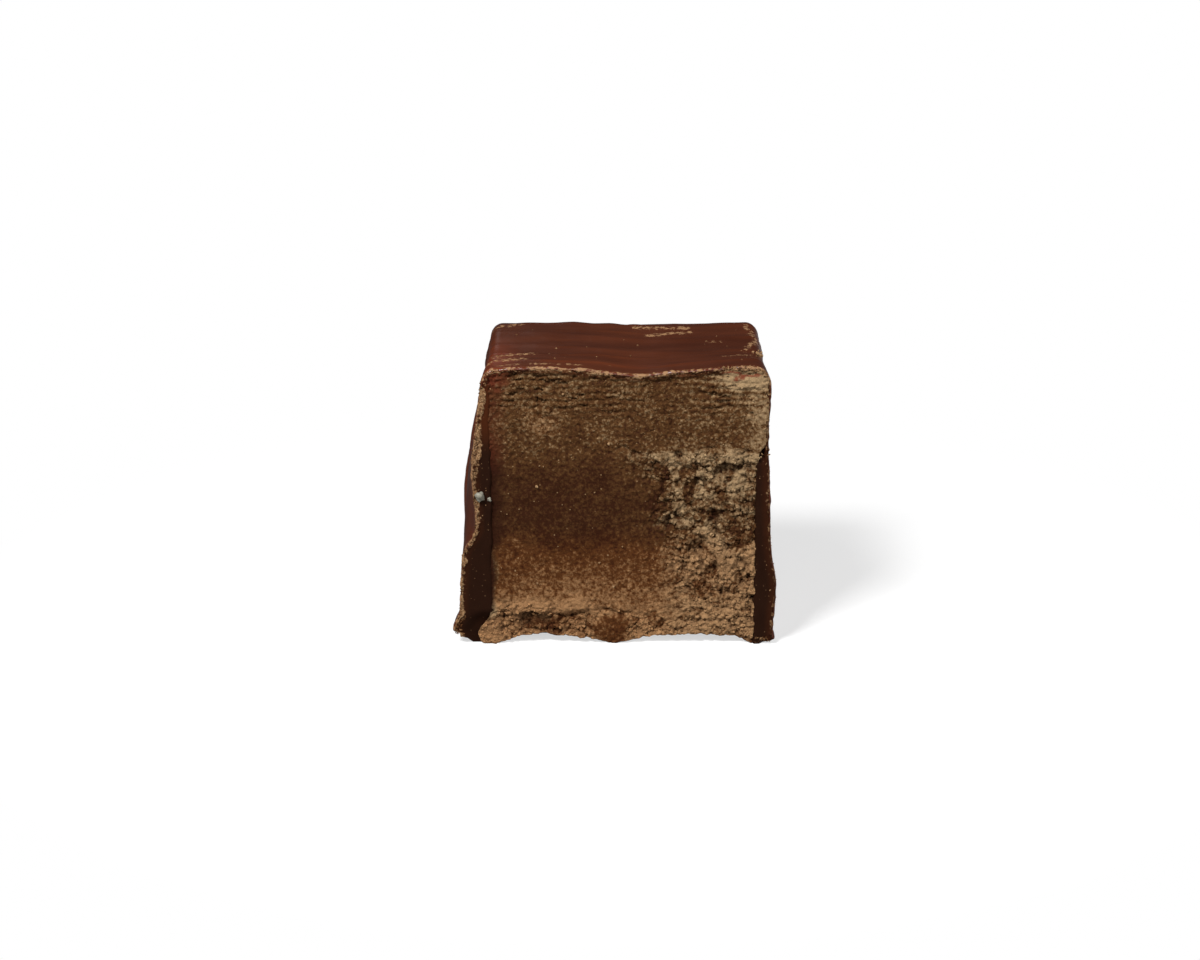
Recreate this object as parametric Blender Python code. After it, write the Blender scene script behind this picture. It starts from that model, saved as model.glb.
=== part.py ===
"""A dipped fudge cube that has been cut through: a block of fudge inside a chocolate coat.

The coat covers the left, right, top and back of the fudge. The front is the cut, where both show,
and the underside is bare fudge with the coat's rim round it. +Z is up, +Y is the back, and the
origin is at the middle of the base.
"""

import bmesh
import bpy
import numpy as np

MM = 0.001

# Driving sizes, in millimetres. X is counted from the middle of the top, and Y from the cut.
FILLING_LEFT = 12.45
FILLING_RIGHT = 12.85
FILLING_HEIGHT = 26.9
DEPTH = 18.0
COAT_LEFT = 1.0  # thickness at the top corners: the walls flare outwards below
COAT_RIGHT = 1.2
COAT_TOP = 1.1
COAT_BACK = 1.6
FIT_GAP = 0.3  # between the filling and the coat
TOP_RADIUS = 1.6  # of the coat's top edges
BACK_RADIUS = 2.2  # of the coat's back edges
CAVITY_RADIUS = 0.5

# How much the walls flare from the top to the base, and how far they bulge in between
FLARE_LEFT = 2.4
FLARE_RIGHT = 1.15
FLARE_BACK = 0.5
BULGE = 0.35

# The chocolate that ran down and set as a foot
FOOT = 0.7
FOOT_HEIGHT = 0.9
FOOT_SPREAD = 0.9

# The dent where the left wall cracked when it was cut
DENT_DEPTH = 1.15
DENT_TOP = 20.5
DENT_BOTTOM = 9.5
DENT_REACH = 3.0

# Set waves in the chocolate
RIDGE_HEIGHT = 0.55
TOP_RIDGE_HEIGHT = 0.22
RIDGE_SHARPNESS = 0.42

# How finely the solids are faceted
WALL_POINTS = 16
CORNER_POINTS = 4
TOP_POINTS = 20
DEPTH_STATIONS = 12
ROUND_STATIONS = 4
FACE_COLUMNS = 26
FACE_ROWS = 27

OUTER_LEFT = FILLING_LEFT + FIT_GAP + COAT_LEFT
OUTER_RIGHT = FILLING_RIGHT + FIT_GAP + COAT_RIGHT
OUTER_HEIGHT = FILLING_HEIGHT + FIT_GAP + COAT_TOP


def smooth_step(start, end, value):
    """0 at start, 1 at end, with a smooth S between them."""
    share = np.clip((value - start) / (end - start), 0.0, 1.0)
    return share * share * (3.0 - 2.0 * share)


def hill(value, middle, spread):
    """A bell of height 1 at the middle."""
    return np.exp(-(((value - middle) / spread) ** 2))


def ridge(angle):
    """A rounded crest at each half turn, with a wide trough between."""
    return np.exp(-((np.sin(angle) / RIDGE_SHARPNESS) ** 2))


def wall_ridges(along, height, pitch, phase):
    """Ridges that run up a wall, wander sideways and fade towards the base and the top edge."""
    wander = 1.1 * np.sin(0.21 * height + phase) + 0.5 * np.sin(0.47 * height + 2.0 * phase)
    crest = ridge(np.pi * (along + wander) / pitch + phase)
    strength = 0.55 + 0.45 * np.sin(0.9 * along + 0.13 * height + 3.0 * phase)
    fade = smooth_step(1.0, 9.0, height) * (1.0 - 0.7 * smooth_step(OUTER_HEIGHT - 5.0, OUTER_HEIGHT, height))
    return RIDGE_HEIGHT * crest * strength * fade


def left_wall(depth, height):
    """How far the left wall stands out from an upright one: flare, bulge, foot, dent and ridges."""
    down = 1.0 - height / OUTER_HEIGHT
    form = FLARE_LEFT * down + BULGE * np.sin(np.pi * down) + FOOT * hill(height, FOOT_HEIGHT, FOOT_SPREAD)
    dent = smooth_step(DENT_TOP, 12.0, height) * smooth_step(DENT_BOTTOM - 1.0, 11.5, height)
    behind = smooth_step(0.0, DENT_REACH, depth)
    return form - DENT_DEPTH * dent * (1.0 - behind) + behind * wall_ridges(depth, height, 4.3, 0.7)


def right_wall(depth, height):
    """The same for the right wall, which has no foot and no dent."""
    down = 1.0 - height / OUTER_HEIGHT
    form = FLARE_RIGHT * down + BULGE * hill(height, 7.5, 4.0)
    behind = smooth_step(0.0, DENT_REACH, depth)
    return form + behind * wall_ridges(depth, height, 4.7, 2.1)


def back_wall(across, height):
    """The same for the back wall."""
    down = 1.0 - height / OUTER_HEIGHT
    foot = 0.6 * FOOT * hill(height, FOOT_HEIGHT, FOOT_SPREAD)
    return FLARE_BACK * down + foot + wall_ridges(across, height, 5.2, 1.3)


def top_wave(across, depth):
    """How far the top stands out: a slow swell, and ridges that run from left to right."""
    swell = 0.3 * hill(across, -8.0, 4.0) + 0.45 * hill(across, 11.5, 3.5) - 0.4 * hill(across, 1.5, 2.8)
    fade = 1.0 - 0.75 * smooth_step(1.0, 7.0, depth)
    wander = 0.8 * np.sin(0.2 * across + 0.6) + 0.04 * across
    return swell * fade + TOP_RIDGE_HEIGHT * ridge(np.pi * (depth + wander) / 4.1 + 0.5)


def arch(left, right, height, radius, wall_points, top_points):
    """Points and outward directions up the left wall, over the top and down the right wall."""
    lean = np.linspace(0.0, np.pi / 2.0, CORNER_POINTS + 2)[1:-1]
    rise = np.linspace(0.0, height - radius, wall_points)
    over = np.linspace(radius - left, right - radius, top_points)
    half_turns = (
        np.column_stack((-left + 0.0 * rise, rise, -1.0 + 0.0 * rise, 0.0 * rise)),
        np.column_stack(
            (
                radius - left - radius * np.cos(lean),
                height - radius + radius * np.sin(lean),
                -np.cos(lean),
                np.sin(lean),
            )
        ),
        np.column_stack((over, height + 0.0 * over, 0.0 * over, 1.0 + 0.0 * over)),
        np.column_stack(
            (
                right - radius + radius * np.sin(lean),
                height - radius + radius * np.cos(lean),
                np.sin(lean),
                np.cos(lean),
            )
        ),
        np.column_stack((right + 0.0 * rise, rise[::-1], 1.0 + 0.0 * rise, 0.0 * rise)),
    )
    rows = np.concatenate(half_turns)
    return rows[:, :2], rows[:, 2:]


def shaped(points, facing):
    """A plain rounded block's skin moved along its own direction to the real walls and top."""
    x, y, z = points.T
    side = np.where(facing[:, 0] < 0.0, left_wall(y, z), right_wall(y, z))
    amount = facing[:, 0] ** 2 * side + facing[:, 1] ** 2 * back_wall(x, z) + facing[:, 2] ** 2 * top_wave(x, y)
    return points + facing * amount[:, None]


def outer_rows():
    """The coat's outer skin, an arch at a time: from the cut to the back, and round the back edges."""
    rows = []
    for y in np.linspace(0.0, DEPTH - BACK_RADIUS, DEPTH_STATIONS):
        outline, out = arch(OUTER_LEFT, OUTER_RIGHT, OUTER_HEIGHT, TOP_RADIUS, WALL_POINTS, TOP_POINTS)
        points = np.column_stack((outline[:, 0], np.full(len(outline), y), outline[:, 1]))
        facing = np.column_stack((out[:, 0], np.zeros(len(out)), out[:, 1]))
        rows.append(shaped(points, facing))
    for turn in np.linspace(0.0, np.pi / 2.0, ROUND_STATIONS + 1)[1:]:
        inset = BACK_RADIUS * (1.0 - np.cos(turn))
        outline, out = arch(
            OUTER_LEFT - inset, OUTER_RIGHT - inset, OUTER_HEIGHT - inset, TOP_RADIUS, WALL_POINTS, TOP_POINTS
        )
        y = DEPTH - BACK_RADIUS * (1.0 - np.sin(turn))
        points = np.column_stack((outline[:, 0], np.full(len(outline), y), outline[:, 1]))
        facing = np.column_stack((out[:, 0] * np.cos(turn), np.full(len(out), np.sin(turn)), out[:, 1] * np.cos(turn)))
        rows.append(shaped(points, facing))
    return rows


def back_rows(arch_row):
    """The back wall inside the last arch: level rows from its left leg to its right leg, up to its top."""
    leg = WALL_POINTS + CORNER_POINTS
    share = np.linspace(0.0, 1.0, TOP_POINTS)[1:-1, None]
    rows = []
    for level in range(leg):
        left, right = arch_row[level], arch_row[-1 - level]
        between = left + (right - left) * share
        between[:, 1] = DEPTH + back_wall(between[:, 0], between[:, 2])
        rows.append(between)
    return rows


def add_rows(bm, rows):
    """Each row of points as vertices in millimetres."""
    return [[bm.verts.new(point) for point in row] for row in rows]


def skin(bm, rows):
    """Quads between each row and the next."""
    for near, far in zip(rows, rows[1:]):
        for a, b, c, d in zip(near, near[1:], far[1:], far):
            bm.faces.new((a, b, c, d))


def finish(name, bm, material, parent):
    """A named object from a closed mesh in millimetres, smooth except at its sharp edges."""
    bmesh.ops.recalc_face_normals(bm, faces=bm.faces)
    bmesh.ops.triangulate(bm, faces=bm.faces)
    bmesh.ops.scale(bm, vec=(MM, MM, MM), verts=bm.verts)
    mesh = bpy.data.meshes.new(name)
    bm.to_mesh(mesh)
    bm.free()
    mesh.shade_smooth()
    mesh.set_sharp_from_angle(angle=np.radians(40.0))
    mesh.materials.append(material)
    piece = bpy.data.objects.new(name, mesh)
    bpy.context.collection.objects.link(piece)
    piece.parent = parent
    return piece


def chocolate_coat(material, parent):
    """The coat: its outer skin, the cavity's walls, the cut rim, and the rim that it stands on."""
    bm = bmesh.new()
    rows = outer_rows()
    outer = add_rows(bm, rows)
    skin(bm, outer)
    last = outer[-1]
    leg = WALL_POINTS + CORNER_POINTS
    levels = [
        [last[level], *verts, last[-1 - level]] for level, verts in enumerate(add_rows(bm, back_rows(rows[-1])))
    ]
    skin(bm, [*levels, last[leg : leg + TOP_POINTS]])

    wall = (FILLING_LEFT + FIT_GAP, FILLING_RIGHT + FIT_GAP, FILLING_HEIGHT + FIT_GAP, CAVITY_RADIUS)
    outline, _ = arch(*wall, WALL_POINTS, TOP_POINTS)
    cavity_depths = (0.0, DEPTH - COAT_BACK)
    cavity = add_rows(bm, [[(x, y, z) for x, z in outline] for y in cavity_depths])
    skin(bm, cavity)
    bm.faces.new(cavity[-1])

    skin(bm, [outer[0], cavity[0]])
    left_foot = [row[0] for row in outer]
    right_foot = [row[-1] for row in reversed(outer)]
    inside = [row[-1] for row in cavity] + [row[0] for row in reversed(cavity)]
    bm.faces.new(left_foot + levels[0][1:-1] + right_foot + inside)
    return finish("chocolate_coat", bm, material, parent)


def cut_relief(across, height):
    """How far the cut face lies behind the cut: swells, the layered top edge and the crumbled corner."""
    swell = 0.25 + 0.14 * np.sin(0.42 * across + 0.5) * np.sin(0.31 * height + 0.8)
    layers = 0.16 * smooth_step(20.5, 24.5, height) * np.sin(3.1 * height + 0.25 * across)
    crumbled = smooth_step(1.0, 6.0, across) * (1.0 - smooth_step(17.0, 20.5, height))
    pits = crumbled * (0.3 + 0.22 * np.sin(2.3 * across + 1.0) * np.sin(2.0 * height + 0.4))
    worn_foot = 0.3 * (1.0 - smooth_step(0.5, 3.0, height)) * (1.0 + np.sin(1.4 * across + 1.1))
    return swell + layers + pits + worn_foot


def chipped_edge(across):
    """How high the lower edge of the cut face is chipped: the two low lobes still reach the base."""
    lobes = np.maximum(hill(across, -11.8, 1.6), hill(across, -0.7, 2.2))
    return 0.85 * (1.0 - lobes) * (0.8 + 0.2 * np.sin(1.9 * across))


def fudge_filling(material, parent):
    """The fudge: a grid for the cut face, whose border is drawn back to a plain block."""
    bm = bmesh.new()
    width = FILLING_LEFT + FILLING_RIGHT
    middle = (FILLING_RIGHT - FILLING_LEFT) / 2.0
    bmesh.ops.create_grid(bm, x_segments=FACE_COLUMNS, y_segments=FACE_ROWS, size=0.5)
    plain = {}
    for vert in bm.verts:
        across = middle + vert.co.x * width
        share = vert.co.y + 0.5
        plain[vert] = (across, share * FILLING_HEIGHT)
        height = share * FILLING_HEIGHT + chipped_edge(across) * (1.0 - share) ** 8
        vert.co = (across, cut_relief(across, height), height)

    border = [edge for edge in bm.edges if edge.is_boundary]
    for depth in (1.6, DEPTH - COAT_BACK - FIT_GAP):
        drawn = bmesh.ops.extrude_edge_only(bm, edges=border)["geom"]
        border = [item for item in drawn if isinstance(item, bmesh.types.BMEdge)]
        moved = {vert for edge in border for vert in edge.verts}
        sources = {
            vert: next(edge.other_vert(vert) for edge in vert.link_edges if edge.other_vert(vert) in plain)
            for vert in moved
        }
        outline = {vert: plain[source] for vert, source in sources.items()}
        for vert, (across, height) in outline.items():
            vert.co = (across, depth, height)
        plain = outline
    bmesh.ops.contextual_create(bm, geom=border)
    return finish("fudge_filling", bm, material, parent)


def confectionery(name, colour, roughness):
    """A plain material: its colour as linear RGB, and how dull it is."""
    material = bpy.data.materials.new(name)
    material.use_nodes = True
    shader = material.node_tree.nodes["Principled BSDF"]
    shader.inputs["Base Color"].default_value = (*colour, 1.0)
    shader.inputs["Roughness"].default_value = roughness
    shader.inputs["Metallic"].default_value = 0.0
    return material


def centre_on_base(parent, pieces):
    """Moves the whole so that its box is centred over the origin."""
    corners = np.array([vert.co for piece in pieces for vert in piece.data.vertices])
    low, high = corners.min(axis=0), corners.max(axis=0)
    parent.location = (-(low[0] + high[0]) / 2.0, -(low[1] + high[1]) / 2.0, -low[2])


def main():
    for old in list(bpy.data.objects):
        bpy.data.objects.remove(old)
    cube = bpy.data.objects.new("fudge_cube", None)
    bpy.context.collection.objects.link(cube)
    chocolate = confectionery("dark_chocolate", (0.066, 0.020, 0.010), 0.4)
    fudge = confectionery("grained_fudge", (0.120, 0.055, 0.023), 0.85)
    pieces = [chocolate_coat(chocolate, cube), fudge_filling(fudge, cube)]
    centre_on_base(cube, pieces)


main()
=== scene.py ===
"""A fudge cube dipped in dark chocolate and cut through: its looks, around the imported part."""

import itertools

import bmesh
import bpy
import numpy as np
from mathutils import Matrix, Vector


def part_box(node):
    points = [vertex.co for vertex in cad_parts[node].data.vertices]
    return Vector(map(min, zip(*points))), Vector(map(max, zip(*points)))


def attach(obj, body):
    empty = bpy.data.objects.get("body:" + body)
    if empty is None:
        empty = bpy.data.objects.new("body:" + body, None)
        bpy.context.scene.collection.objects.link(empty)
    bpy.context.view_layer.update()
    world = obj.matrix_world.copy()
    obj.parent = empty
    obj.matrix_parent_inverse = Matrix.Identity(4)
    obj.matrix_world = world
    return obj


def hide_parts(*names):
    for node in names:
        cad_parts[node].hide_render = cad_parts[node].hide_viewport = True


bl_info = {
    "name": "Cut fudge cube",
    "version": (1, 0, 0),
    "blender": (4, 5, 0),
    "location": "3D View > Sidebar > Fudge",
    "description": "Grained fudge in a coat of dark chocolate, cut through",
    "category": "Add Mesh",
}

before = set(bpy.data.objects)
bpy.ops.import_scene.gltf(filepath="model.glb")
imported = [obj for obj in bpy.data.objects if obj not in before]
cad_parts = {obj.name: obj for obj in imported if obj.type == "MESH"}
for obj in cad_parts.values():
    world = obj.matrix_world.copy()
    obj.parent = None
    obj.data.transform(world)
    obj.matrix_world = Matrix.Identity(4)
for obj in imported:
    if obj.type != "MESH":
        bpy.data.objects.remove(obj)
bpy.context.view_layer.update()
CUT_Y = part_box("chocolate_coat")[0].y

MM = 0.001

# Sizes in millimetres. X is counted from the middle of the top, Y from the cut, Z from the base.
MIDDLE_X = 0.248  # where the middle of the top stands in the row frame
FILLING_LEFT = 12.45
FILLING_RIGHT = 12.85
FILLING_HEIGHT = 26.9
DEPTH = 18.0
COAT_LEFT = 1.0
COAT_RIGHT = 1.2
COAT_TOP = 1.1
COAT_BACK = 1.6
FIT_GAP = 0.3
TOP_RADIUS = 1.6
BACK_RADIUS = 2.2
CAVITY_RADIUS = 0.5
FLARE_LEFT = 2.4
FLARE_RIGHT = 1.15
FLARE_BACK = 0.5
BULGE = 0.35
BACK_FOOT = 0.42
FOOT_HEIGHT = 0.9
FOOT_SPREAD = 0.9
DENT_DEPTH = 1.15
DENT_TOP = 20.5
DENT_MIDDLE = 12.0
DENT_BOTTOM = 9.1
DENT_REACH = 3.0
RIDGE_HEIGHT = 0.55
TOP_RIDGE_HEIGHT = 0.08
RIDGE_SHARPNESS = 0.42
RIDGE_START = 2.5  # behind the cut, where the side walls' ridges begin to grow
RIDGE_FULL = 9.0  # and where they are fully grown
OUTER_LEFT = FILLING_LEFT + FIT_GAP + COAT_LEFT
OUTER_RIGHT = FILLING_RIGHT + FIT_GAP + COAT_RIGHT
OUTER_HEIGHT = FILLING_HEIGHT + FIT_GAP + COAT_TOP

RIDGES = {"left": (4.3, 0.7), "right": (4.7, 2.1), "back": (5.2, 1.3)}  # pitch of a wall's drip ridges, and phase

# How finely the coat is drawn
WALL_POINTS = 168
CORNER_POINTS = 14
TOP_POINTS = 160
LIP_STATIONS = 5
DEPTH_STATIONS = 74
ROUND_STATIONS = 9
BAND_STATIONS = 20
LIP = 0.2
BASE_RADIUS = 0.35

# How finely the cut face of the fudge is drawn
FACE_COLUMNS = 286
FACE_ROWS = 296


def linear(text):
    """sRGB hex to linear red, green and blue."""
    value = np.array([int(text[i : i + 2], 16) for i in (1, 3, 5)]) / 255.0
    return tuple(np.where(value <= 0.04045, value / 12.92, ((value + 0.055) / 1.055) ** 2.4).tolist())


# Shapes that the pieces share


def smooth_step(start, end, value):
    """0 at start, 1 at end, with a smooth S between them."""
    share = np.clip((value - start) / (end - start), 0.0, 1.0)
    return share * share * (3.0 - 2.0 * share)


def hill(value, middle, spread):
    """A bell of height 1 at the middle."""
    return np.exp(-(((value - middle) / spread) ** 2))


def patch(place, middle, spread, edge=0.35):
    """1 inside an ellipse round the middle, 0 outside, with a soft edge this share of its size wide."""
    reach = np.sqrt((((place - middle) / spread) ** 2).sum(axis=-1))
    return 1.0 - smooth_step(1.0 - edge, 1.0 + edge, reach)


def number_at(cells, seed):
    """A fixed number from 0 to 1 for each whole-number cell: its place, multiplied out and with its bits mixed."""
    steps = np.array((73856093, 19349663, 83492791)[: cells.shape[-1]], np.int64)
    mixed = (((cells.astype(np.int64) * steps).sum(axis=-1) + seed * 2654435761) & 0xFFFFFFFF).astype(np.uint64)
    for shift, factor in ((16, 2246822519), (13, 3266489917), (16, 1)):
        mixed ^= mixed >> np.uint64(shift)
        mixed = (mixed * np.uint64(factor)) & np.uint64(0xFFFFFFFF)
    return mixed / 2.0**32


def soft_noise(place, size, seed):
    """Smooth noise from -1 to 1: numbers at the corners of cells of this size, blended by an S in each direction."""
    place = place / size
    cell = np.floor(place)
    share = place - cell
    share = share**3 * (share * (share * 6.0 - 15.0) + 10.0)
    total = 0.0
    for corner in itertools.product((0, 1), repeat=place.shape[-1]):
        weight = np.where(np.array(corner) == 1, share, 1.0 - share).prod(axis=-1)
        total = total + weight * number_at(cell + corner, seed)
    return 2.0 * total - 1.0


def rough_noise(place, size, seed, layers=3):
    """Soft noise, and finer layers of it, each half as large and half as strong."""
    total = 0.0
    for layer in range(layers):
        total = total + soft_noise(place, size / 2.0**layer, seed + 17 * layer) / 2.0**layer
    return total


def grains(place, size, seed, spread=0.8):
    """The nearest grain to each point, one to a cell of this size: its distance and the next one's, in
    millimetres, and its own number from 0 to 1."""
    place = place / size
    cell = np.floor(place)
    near = np.full(place.shape[:-1], 9.0)
    following, number = near.copy(), np.zeros_like(near)
    for step in itertools.product((-1, 0, 1), repeat=place.shape[-1]):
        at = cell + step
        shift = np.stack([number_at(at, seed + axis) for axis in range(place.shape[-1])], axis=-1) - 0.5
        gap = np.sqrt(((place - at - 0.5 - spread * shift) ** 2).sum(axis=-1))
        closer = gap < near
        following = np.where(closer, near, np.minimum(following, gap))
        number = np.where(closer, number_at(at, seed + 5), number)
        near = np.minimum(near, gap)
    return near * size, following * size, number


def ridge(angle):
    """A rounded crest at each half turn, with a wide trough between."""
    return np.exp(-((np.sin(angle) / RIDGE_SHARPNESS) ** 2))


def wall_ridges(along, height, wall):
    """Drip ridges that run up a wall, wander sideways and fade towards the base and the top edge."""
    pitch, phase = RIDGES[wall]
    wander = 1.1 * np.sin(0.21 * height + phase) + 0.5 * np.sin(0.47 * height + 2.0 * phase)
    crest = ridge(np.pi * (along + wander) / pitch + phase)
    strength = 0.55 + 0.45 * np.sin(0.9 * along + 0.13 * height + 3.0 * phase)
    fade = smooth_step(1.0, 9.0, height) * (1.0 - 0.7 * smooth_step(OUTER_HEIGHT - 5.0, OUTER_HEIGHT, height))
    return RIDGE_HEIGHT * crest * strength * fade


def left_wall(depth, height):
    """How far the left wall stands out from an upright one: flare, bulge, foot, dent and ridges."""
    down = 1.0 - height / OUTER_HEIGHT
    form = FLARE_LEFT * down + BULGE * np.sin(np.pi * down) + 0.55 * hill(height, 1.8, 1.0)
    form = form - 0.3 * smooth_step(15.0, 23.0, height)
    dent = smooth_step(DENT_TOP, DENT_MIDDLE, height) * smooth_step(DENT_BOTTOM, DENT_MIDDLE + 0.2, height)
    behind = smooth_step(0.0, DENT_REACH, depth)
    narrow = 0.5 * smooth_step(0.5, 9.0, depth) * smooth_step(17.0, 27.0, height)
    narrow = narrow + 0.8 * smooth_step(0.2, 7.0, depth) * smooth_step(13.0, 3.0, height)
    ridges = smooth_step(RIDGE_START, RIDGE_FULL, depth) * wall_ridges(depth, height, "left")
    return form - DENT_DEPTH * dent * (1.0 - behind) - narrow + ridges


def right_wall(depth, height):
    """The same for the right wall, which has no foot and no dent."""
    down = 1.0 - height / OUTER_HEIGHT
    form = FLARE_RIGHT * down + 0.46 * hill(height, 6.1, 2.5) - 0.35 * smooth_step(28.0, 21.0, height)
    narrow = 0.4 * smooth_step(0.5, 6.0, depth)
    return form - narrow + smooth_step(RIDGE_START, RIDGE_FULL, depth) * wall_ridges(depth, height, "right")


def back_wall(across, height):
    """The same for the back wall."""
    down = 1.0 - height / OUTER_HEIGHT
    foot = BACK_FOOT * hill(height, FOOT_HEIGHT, FOOT_SPREAD)
    return FLARE_BACK * down + foot + wall_ridges(across, height, "back")


def top_wave(across, depth):
    """How far the top stands out: a slow swell, and ridges that run from left to right."""
    back = 0.2 * smooth_step(8.0, 14.0, depth)
    swell = 0.3 * hill(across, -8.0, 4.0) + 0.45 * hill(across, 11.5, 3.5) - 0.4 * hill(across, 1.5, 2.8)
    fade = 1.0 - 0.75 * smooth_step(1.0, 7.0, depth)
    wander = 0.8 * np.sin(0.2 * across + 0.6) + 0.04 * across
    return back + swell * fade + TOP_RIDGE_HEIGHT * ridge(np.pi * (depth + wander) / 4.1 + 0.5)


def arch(left, right, height, radius):
    """Points and outward directions up the left wall, over the top and down the right wall: straight
    legs, a quarter turn of this radius at each corner, and a straight top."""
    lean = np.linspace(0.0, np.pi / 2.0, CORNER_POINTS + 2)[1:-1]
    rise = np.linspace(0.0, height - radius, WALL_POINTS)
    over = np.linspace(radius - left, right - radius, TOP_POINTS)
    none, one = np.zeros_like, np.ones_like
    cos, sin = np.cos(lean), np.sin(lean)
    rows = np.concatenate(
        (
            np.column_stack((-left * one(rise), rise, -one(rise), none(rise))),
            np.column_stack((radius - left - radius * cos, height - radius + radius * sin, -cos, sin)),
            np.column_stack((over, height * one(over), none(over), one(over))),
            np.column_stack((right - radius + radius * sin, height - radius + radius * cos, sin, cos)),
            np.column_stack((right * one(rise), rise[::-1], one(rise), none(rise))),
        )
    )
    return rows[:, :2], rows[:, 2:]


def station(depth, inset=0.0, turn=0.0):
    """One arch of the plain block at this depth, drawn in by inset, with its skin facing outwards and by
    the angle turn backwards, and moved along that direction to the real walls and top. A lip's skin
    faces forwards, and is moved outwards only."""
    outline, out = arch(OUTER_LEFT - inset, OUTER_RIGHT - inset, OUTER_HEIGHT - inset, TOP_RADIUS)
    points = np.column_stack((outline[:, 0], np.full(len(outline), depth), outline[:, 1]))
    back = max(turn, 0.0)
    moved = np.column_stack((out[:, 0] * np.cos(back), np.full(len(out), np.sin(back)), out[:, 1] * np.cos(back)))
    x, y, z = points.T
    side = np.where(out[:, 0] < 0.0, left_wall(y, z), right_wall(y, z))
    amount = moved[:, 0] ** 2 * side + moved[:, 1] ** 2 * back_wall(x, z) + moved[:, 2] ** 2 * top_wave(x, y)
    facing = np.column_stack((out[:, 0] * np.cos(turn), np.full(len(out), np.sin(turn)), out[:, 1] * np.cos(turn)))
    return points + moved * amount[:, None], facing


# Mesh and material helpers


def quads(index):
    """Quads between neighbours in a grid of vertex numbers."""
    return np.stack((index[:-1, :-1], index[:-1, 1:], index[1:, 1:], index[1:, :-1]), axis=-1).reshape(-1, 4)


def add_piece(name, points, faces, materials, fields, sharp=60.0):
    """A named closed mesh in the row frame from points in millimetres, smooth but for its sharp edges,
    with a number for each point under each field's name. Faces where the field "cut" is over a half
    take the second material."""
    mesh = bpy.data.meshes.new(name)
    placed = (points + np.array((MIDDLE_X, 0.0, 0.0))) * MM + np.array((0.0, CUT_Y, 0.0))
    mesh.from_pydata(placed.tolist(), [], faces)
    for material in materials:
        mesh.materials.append(material)
    for field, values in fields.items():
        layer = mesh.attributes.new(field, "FLOAT", "POINT")
        layer.data.foreach_set("value", values.astype(np.float32))
    if "cut" in fields:
        first = np.empty(len(faces), np.int32)
        mesh.polygons.foreach_get("loop_start", first)
        corners = np.empty(len(mesh.loops), np.int32)
        mesh.loops.foreach_get("vertex_index", corners)
        mesh.polygons.foreach_set("material_index", (fields["cut"][corners[first]] > 0.5).astype(np.int32))
    bm = bmesh.new()
    bm.from_mesh(mesh)
    bmesh.ops.recalc_face_normals(bm, faces=bm.faces)
    bm.to_mesh(mesh)
    bm.free()
    mesh.shade_smooth()
    mesh.set_sharp_from_angle(angle=np.radians(sharp))
    piece = bpy.data.objects.new(name, mesh)
    bpy.context.scene.collection.objects.link(piece)
    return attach(piece, "root")


def new_material(name):
    """An empty material, its node tree and its shader."""
    material = bpy.data.materials.new(name)
    material.use_nodes = True
    return material, material.node_tree, material.node_tree.nodes["Principled BSDF"]


def node(tree, kind, sockets=(), **settings):
    """Adds a node of this kind with its settings. sockets gives, by name or number, an input's value or
    the output that feeds it."""
    made = tree.nodes.new(kind)
    for setting, value in settings.items():
        setattr(made, setting, value)
    for socket, value in dict(sockets).items():
        if isinstance(value, bpy.types.NodeSocket):
            tree.links.new(value, made.inputs[socket])
        else:
            made.inputs[socket].default_value = value
    return made


def per_metre(size):
    """A pattern's scale from the size of one of its features in millimetres."""
    return 1.0 / (size * MM)


# Settings


class FudgeSizes(bpy.types.PropertyGroup):
    grain: bpy.props.FloatProperty(
        name="Grain", description="Width of a sugar grain in millimetres", default=0.4, min=0.2, max=1.5
    )
    clump: bpy.props.FloatProperty(
        name="Clump", description="Width of a clump of grains in millimetres", default=1.5, min=0.5, max=4.0
    )
    pimple: bpy.props.FloatProperty(
        name="Pimple", description="Height of a pimple on the coat in millimetres", default=0.14, min=0.0, max=0.5
    )
    grains: bpy.props.IntProperty(
        name="Grains", description="Grains thrown at the cut, which keeps most where it is crumbly",
        default=13000, min=100, max=15000,
    )
    crumbs: bpy.props.IntProperty(
        name="Crumbs", description="Loose crumbs along the coat's left rim", default=380, min=16, max=600
    )


class FudgeColours(bpy.types.PropertyGroup):
    set_chocolate: bpy.props.FloatVectorProperty(
        name="Set chocolate", description="Outer skin of the coat", default=linear("#562a17"), subtype="COLOR"
    )
    cut_chocolate: bpy.props.FloatVectorProperty(
        name="Cut chocolate", description="Where the knife went through the coat", default=linear("#23120a"),
        subtype="COLOR",
    )
    thin_chocolate: bpy.props.FloatVectorProperty(
        name="Thin chocolate", description="Edges and crests of the coat", default=linear("#6b2e18"), subtype="COLOR"
    )
    scraped_chocolate: bpy.props.FloatVectorProperty(
        name="Scraped chocolate", description="Pale scraped edges", default=linear("#96704c"), subtype="COLOR"
    )
    moist_fudge: bpy.props.FloatVectorProperty(
        name="Moist fudge", description="Smooth heart of the cut", default=linear("#361c0e"), subtype="COLOR"
    )
    grained_fudge: bpy.props.FloatVectorProperty(
        name="Grained fudge", description="Granular part of the cut", default=linear("#56391f"), subtype="COLOR"
    )
    dry_fudge: bpy.props.FloatVectorProperty(
        name="Dry fudge", description="Crumbly part of the cut", default=linear("#9e8361"), subtype="COLOR"
    )


# The cut face of the fudge

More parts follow.
